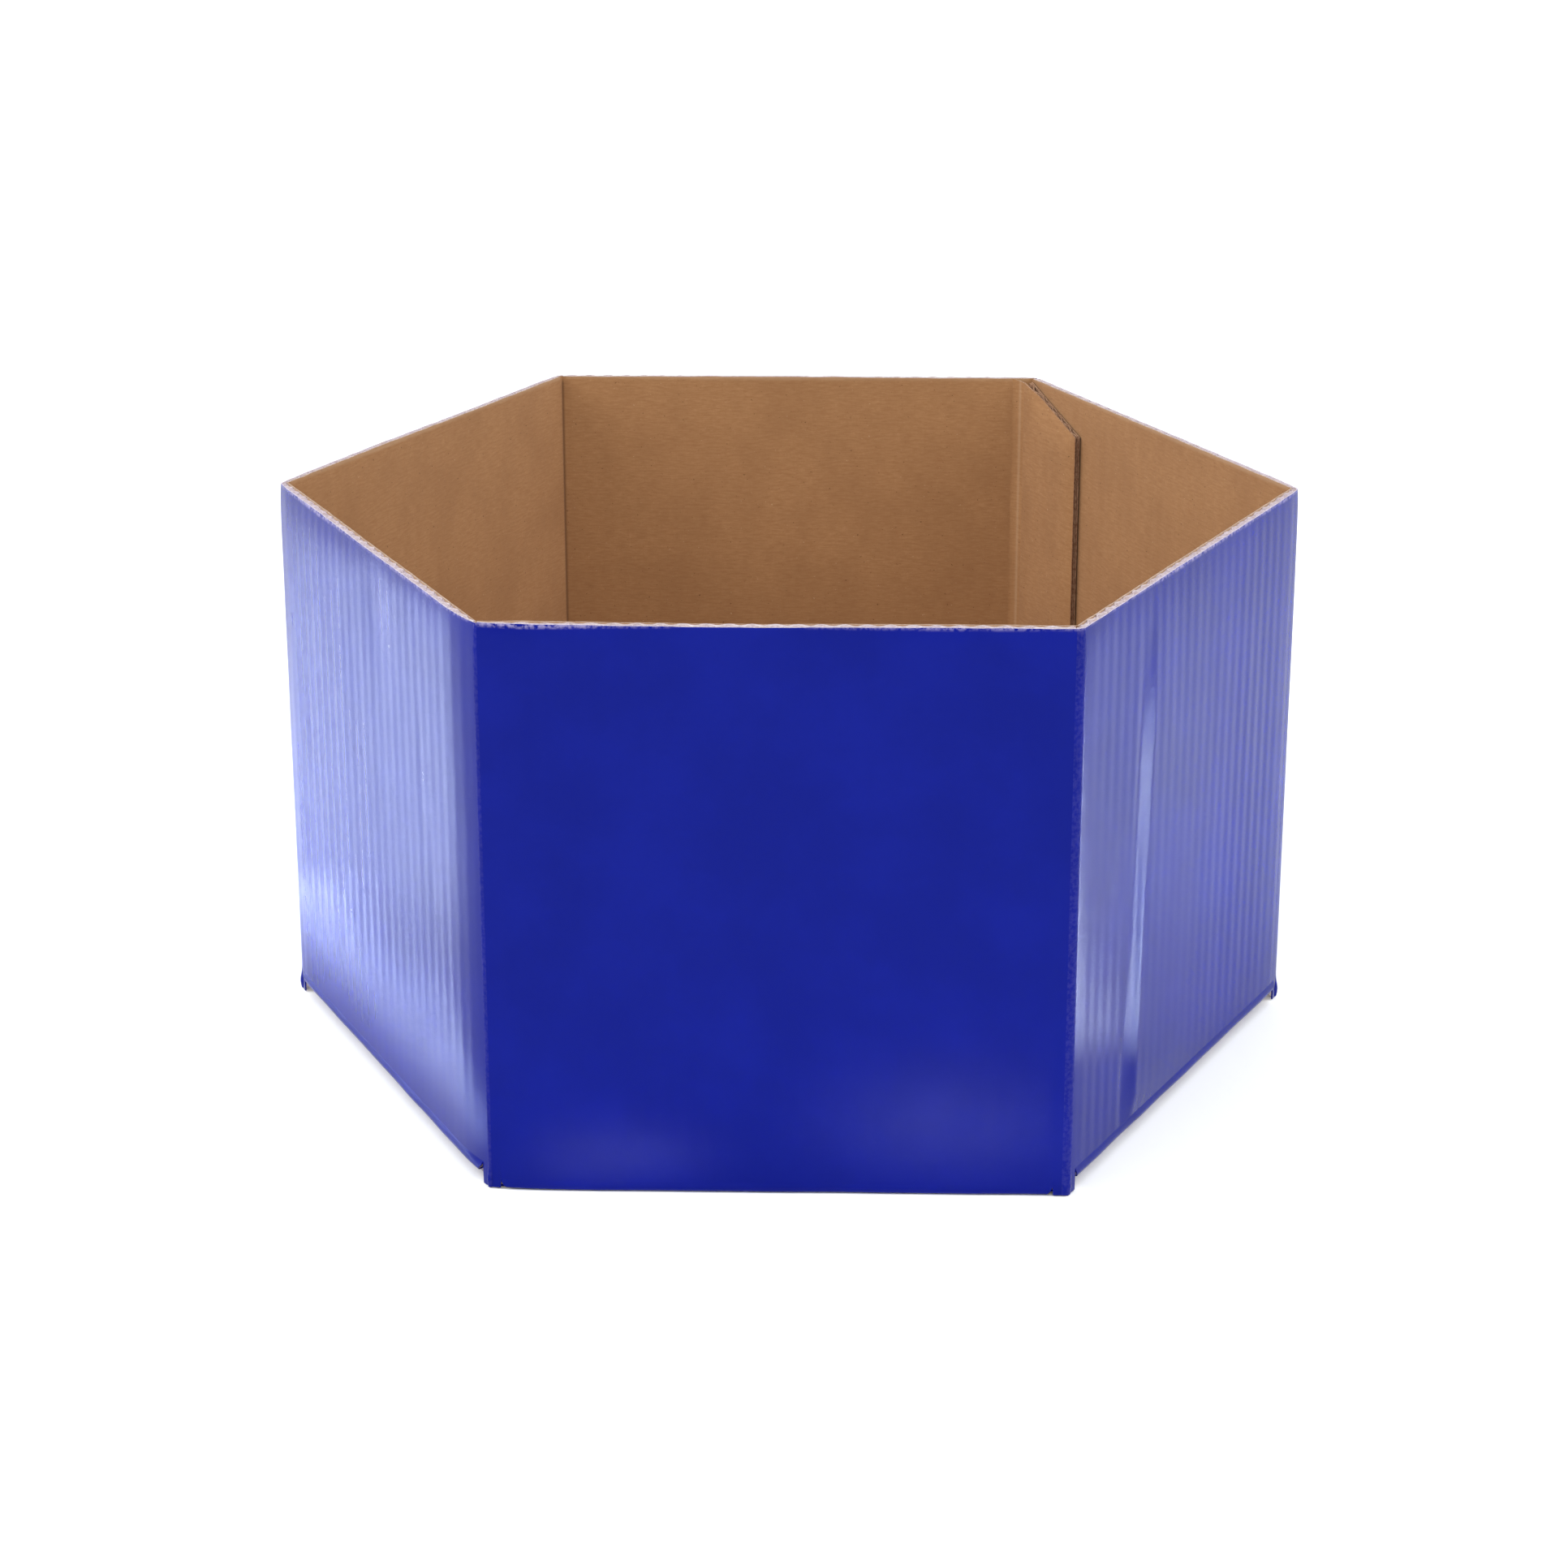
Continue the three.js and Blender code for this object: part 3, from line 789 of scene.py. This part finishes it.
def strip(name, profile, run, along, origin, seed, materials, wear, thickness, shift, cut_sides=SIDES):
    """A strip that follows a flat profile of (points, outward directions) and runs along a third direction.

    run is a grid: for each point of the profile, the distances along the strip's length. shift is how far
    the strip stands out, as a function of the share of the profile and the distance along the strip."""
    points, normals = profile
    lengths = np.insert(np.cumsum(np.linalg.norm(np.diff(points, axis=0), axis=1)), 0, 0)
    across = np.broadcast_to(lengths[:, None], run.shape)
    outer = origin + points[:, None, :] + along * run[..., None]
    outer = outer + normals[:, None, :] * shift(across / lengths[-1], run)[..., None]
    inner = outer - normals[:, None, :] * thickness
    all_points = np.concatenate((outer.reshape(-1, 3), inner.reshape(-1, 3)))
    faces, material_index = slab_faces(*run.shape, cut_sides)
    flat = np.stack((across, run, np.full(run.shape, SHEET_GAP * seed)), -1).reshape(-1, 3)
    # The wear and painted light, for both faces.
    worn = np.tile(np.broadcast_to(wear, run.shape).reshape(-1), 2)
    return new_piece(name, all_points, faces, np.tile(flat, (2, 1)), worn, materials, material_index)


def arc_profile(first, last, radius, share_from):
    """An arc from the direction first towards the direction last, with its normals."""
    turn = math.acos(np.clip(np.dot(first, last), -1, 1))
    shares = np.linspace(share_from, 1, BEND_STEPS + 1)[:, None]
    normals = (np.sin((1 - shares) * turn) * first + np.sin(shares * turn) * last) / math.sin(turn)
    return normals * radius, normals


def curve_profile(start, start_way, end, end_way, along, fullness=1.0):
    """A cubic curve between two points that leaves and arrives in the given directions, with its normals.

    A fullness of 1 is close to an arc, and more is squarer. along is the way that the strip runs."""
    turn = math.acos(np.clip(np.dot(start_way, end_way), -1, 1))
    chord = np.linalg.norm(end - start)
    handle = fullness * 4 / 3 * math.tan(turn / 4) * chord / (2 * math.sin(turn / 2))
    a, b = start + handle * start_way, end - handle * end_way
    t = np.linspace(0, 1, BEND_STEPS + 1)[:, None]
    points = (1 - t) ** 3 * start + 3 * (1 - t) ** 2 * t * a + 3 * (1 - t) * t**2 * b + t**3 * end
    ways = (1 - t) ** 2 * (a - start) + 2 * (1 - t) * t * (b - a) + t**2 * (end - b)
    normals = np.cross(ways, along)
    return points, normals / np.linalg.norm(normals, axis=1)[:, None]


def crease_plies(drop):
    """Each ply's name, outer radius and thickness where it bends, in a board crushed by drop.

    The inner liner's thickness is a hair less than its radius, so that its inner side isn't a point."""
    core = BOARD - drop - LINER - PLY_GAP
    return (
        ("outer_liner", BOARD - drop, LINER),
        ("flutes", core, core - LINER - PLY_GAP),
        ("inner_liner", LINER, LINER - 0.02 * MM),
    )


def wall_before(wall):
    return WALLS[WALLS.index(wall) - 1]


def rolled_profile(before, wall):
    """The outer liner's bend round a corner, which carries on the slopes of the two walls' rolls."""
    drop, reach = ROLLS[WALL_STARTS[wall]]
    slope = math.atan(2 * drop / reach)
    (before_way, _, first), (way, _, last) = wall_plane(before).axes, wall_plane(wall).axes
    start_way = before_way * math.cos(slope) - first * math.sin(slope)
    end_way = way * math.cos(slope) + last * math.sin(slope)
    return curve_profile(first * (BOARD - drop), start_way, last * (BOARD - drop), end_way, UP)


def crease_heights(ply):
    """Heights up a corner, closer together at the foot and at the rim, where each ply is cut."""
    drops = {"outer_liner": OUTER_LINER_DROP, "flutes": MEDIUM_DROP, "inner_liner": 0.0}
    foot, top = CREASE_FOOT, RIM - drops[ply]
    lower = np.linspace(foot, foot + 5 * MM, 9)
    middle = np.linspace(foot + 6 * MM, top - 3 * MM, 20)
    return np.concatenate((lower, middle, np.linspace(top - 2.5 * MM, top, 6)))


def corner_shift(ply, seed):
    """How far a ply stands out where it bends round a corner: proud at its foot, and pressed at the rim."""

    def shift(across, height):
        if ply == "inner_liner":
            return 0 * height
        if ply == "flutes":
            return -rim_crush(height)
        middle = np.sin(math.pi * across)
        bulge = BULGE * np.exp(-(((height - BULGE_HEIGHT) / BULGE_REACH) ** 2)) * middle
        waver = 0.03 * MM * middle * soft_noise(height / (9 * MM), height * 0, seed)
        return bulge + waver - rim_crush(height)

    return shift


def corner_crease(wall):
    """The three plies' bends at a wall's first corner."""
    corner, before = WALL_STARTS[wall], wall_before(wall)
    first, last = wall_plane(before).axes[2], wall_plane(wall).axes[2]
    glued = corner == "back_right"
    seed = 30 + WALLS.index(wall)
    for ply, radius, thickness in crease_plies(ROLLS[corner][0]):
        if ply == "outer_liner" and not glued:
            profile = rolled_profile(before, wall)
        else:
            profile = arc_profile(first, last, radius, GLUED_BEND_START if glued else 0)
        heights = crease_heights(ply)
        run = np.broadcast_to(heights, (BEND_STEPS + 1, len(heights)))
        face, _, cut = PLY_MATERIALS[ply]
        # -1 paints shade on the kraft of the inner plies' bends; the outer liner is worn instead.
        wear = -1.0
        if ply == "outer_liner":
            wear = CORNER_WEAR + 0.5 * np.exp(-(RIM - run) / RIM_WEAR)
        piece = strip(
            f"crease_{corner}_{ply}",
            profile,
            run,
            UP,
            CORNERS[corner],
            seed,
            [face, KRAFT, cut],
            wear,
            thickness,
            corner_shift(ply, seed),
            ("bottom", "top"),
        )
        # start is on the side of the wall before this corner, and end on the side of this wall
        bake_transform(piece)
        if ply == "outer_liner":
            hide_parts(f"crease_{corner}")


def base_shift(wall, ply, radius, seed):
    """How far a ply stands out where it bends in at a wall's foot: crushed with the wall, then slack."""
    slack = 0.0 if wall == "front" else BASE_SLACK

    def shift(across, along):
        crushed = corner_roll(wall, along) * (1 - across) * radius / BOARD
        if ply != "outer_liner":
            return -crushed
        loose = slack + 0.05 * MM * soft_noise(along / (8 * MM), along * 0, seed)
        return np.sin(math.pi * across) * loose - crushed

    return shift


def base_crease(wall):
    """The bend from a wall's outer face down to its flap's underside, and the other plies' bends in it."""
    plane, flap, node = wall_plane(wall), flap_name(wall), f"base_crease_{wall}"
    along, out = plane.axes[0], plane.axes[2]
    origin = plane.origin + hinge_height(wall) * UP
    reach = node_on_plane(node, plane)[0][:, 0]
    flap_start, flap_end = reach.min(), reach.max()
    seed = 40 + WALLS.index(wall)
    for ply, radius, thickness in crease_plies(0):
        profile = curve_profile(out * radius, -UP, -UP * radius, -out, along, fullness=1.7)
        across = np.linspace(0, 1, BEND_STEPS + 1)[:, None]
        starts, ends = flap_start + 0 * across, flap_end + 0 * across
        if ply == "outer_liner":
            starts, ends = lerp(EAR, flap_start, across), lerp(wall_width(wall) - EAR, flap_end, across)
        piece = strip(
            f"{node}_{ply}",
            profile,
            lerp(starts, ends, np.linspace(0, 1, BASE_CREASE_COLUMNS)),
            along,
            origin,
            seed,
            PLY_MATERIALS[ply],
            0.0,
            thickness,
            base_shift(wall, ply, radius, seed),
            ("start", "end"),
        )
        middle = origin + along * wall_width(wall) / 2
        start, end = tuple(middle + profile[0][0]), tuple(middle + profile[0][-1])
        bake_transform(piece)
        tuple(start)
        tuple(end)
        if ply == "outer_liner":
            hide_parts(node)


def glue_flap_root():
    """The kraft liner's bend between the back wall and the glue flap, which closes the corner inside, with a
    painted highlight down its ridge.
    """
    back, glued = wall_plane("back"), glue_flap_plane()
    outline, flap_face, _ = node_on_plane("glue_flap_inner_liner", glued)
    flap_top, flap_foot = outline[:, 1].max(), outline[:, 1].min()
    corner = CORNERS["back_right"]
    # the flap's inner face, carried on, meets the back wall's inner face here
    meeting = corner + back.axes[0] * flap_face / np.dot(glued.axes[2], back.axes[0])
    on_flap = corner + glued.axes[0] * outline[:, 0].max() + glued.axes[2] * flap_face
    on_back = meeting + back.axes[0] * ROOT_REACH
    profile = curve_profile(on_flap, glued.axes[0], on_back, back.axes[0], UP, fullness=0.8)
    across = np.linspace(0, 1, BEND_STEPS + 1)[:, None]
    tops = lerp(flap_top - 0.05 * MM, RIM - 0.1 * MM, across)
    run = lerp(flap_foot + 0 * across, tops, np.linspace(0, 1, ROOT_COLUMNS))

    def shift(across, height):
        waver = 0.05 * MM * np.sin(math.pi * across) * soft_noise(height / (14 * MM), height * 0, 61)
        return waver - SKIN * across

    materials = PLY_MATERIALS["inner_liner"]
    # A pale band down the bend's ridge: a painted highlight.
    wear = 0.3 + 0.5 * np.exp(-(((across - 0.4) / 0.12) ** 2))
    piece = strip("glue_flap_root", profile, run, UP, 0 * UP, 51, materials, wear, -LINER / 2, shift)
    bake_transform(piece)


for wall in WALLS:
    corner_crease(wall)
    base_crease(wall)
glue_flap_root()

# ---------------------------------------------------------------- floor, lights and camera


def plain_material(name, colour, roughness):
    m = Material(name, roughness)
    m.shader.inputs["Base Color"].default_value = (*colour, 1.0)
    return m.material


def make_floor():
    size = 6.0
    mesh = bpy.data.meshes.new("floor")
    low = -0.05 * MM  # a hair under the lowest paper, so that the two never share a plane
    corners = [(-size, -size, low), (size, -size, low), (size, size, low), (-size, size, low)]
    mesh.from_pydata(corners, [], [(0, 1, 2, 3)])
    mesh.materials.append(plain_material("pale_floor", (0.95, 0.95, 0.95), 0.9))
    floor = bpy.data.objects.new("floor", mesh)
    bpy.context.scene.collection.objects.link(floor)


def softbox(name, place, target, width, height, power, colour=(1.0, 1.0, 1.0), spin=0, spread=180):
    """A soft rectangular lamp at one place that faces another, turned by spin degrees about its beam."""
    light = bpy.data.lights.new(name, "AREA")
    light.shape = "RECTANGLE"
    light.size, light.size_y, light.energy, light.color = width, height, power, colour
    light.spread = math.radians(spread)
    lamp = bpy.data.objects.new(name, light)
    aim = (Vector(target) - Vector(place)).to_track_quat("-Z", "Y").to_euler()
    lamp.location, lamp.rotation_euler = place, aim
    lamp.rotation_euler.rotate_axis("Z", math.radians(spin))
    lamp.visible_camera = False
    bpy.context.scene.collection.objects.link(lamp)


def pool(name, colour, place, height, length, width, power, spin=0):
    """A lamp that looks straight down and brightens a patch of the floor, which the film then reflects."""
    above, below = (*place, height), (*place, 0)
    softbox(name, above, below, length, width, power, colour, spin, spread=40)


def make_lights():
    blue, pale_blue, pink = (0.55, 0.66, 1.06), (0.75, 0.82, 1.06), (1.0, 0.80, 0.86)
    # The side walls show the floor on their own side, so each has a pool there. The strip shows in the
    # front right wall's crease, and the glints low on the front wall.
    pool("left_pool", blue, (-0.213, 0.103), 0.14, 0.26, 0.08, 0.225, spin=136)
    pool("left_near_pool", blue, (-0.093, -0.018), 0.02, 0.13, 0.012, 0.020, spin=117)
    pool("right_pool", blue, (0.205, 0.081), 0.14, 0.22, 0.08, 0.037, spin=41)
    pool("right_strip", pale_blue, (0.188, 0.0005), 0.035, 0.20, 0.012, 0.85, spin=27.8)
    pool("front_glint_right", pink, (0.027, -0.107), 0.06, 0.024, 0.026, 0.010)
    pool("front_glint_left", pink, (-0.026, -0.094), 0.04, 0.020, 0.006, 0.0034)
    middle_of_box = (0.0, 0.0, 0.05)
    softbox("front_key", (0.0, -1.0, 1.1), middle_of_box, 1.0, 0.8, 4.5)
    softbox("left_key", (-0.9, -0.2, 0.8), middle_of_box, 0.8, 0.6, 8.5)
    softbox("right_key", (0.9, -0.2, 0.8), middle_of_box, 0.8, 0.6, 6.0)
    world = bpy.data.worlds.new("studio")
    world.use_nodes = True
    background = world.node_tree.nodes["Background"]
    background.inputs["Color"].default_value = (0.965, 1.0, 1.03, 1.0)
    background.inputs["Strength"].default_value = 1.1
    bpy.context.scene.world = world


def make_camera():
    camera = bpy.data.cameras.new("camera")
    camera.sensor_width, camera.lens = 36.0, 83.84
    holder = bpy.data.objects.new("camera", camera)
    holder.location = (12.9 * MM, -587.2 * MM, 247.0 * MM)
    holder.rotation_euler = (math.radians(90 - 19.55), 0, math.radians(1.32))
    bpy.context.scene.collection.objects.link(holder)
    bpy.context.scene.camera = holder


make_floor()
make_lights()
make_camera()
bpy.context.scene.view_settings.view_transform = "Standard"
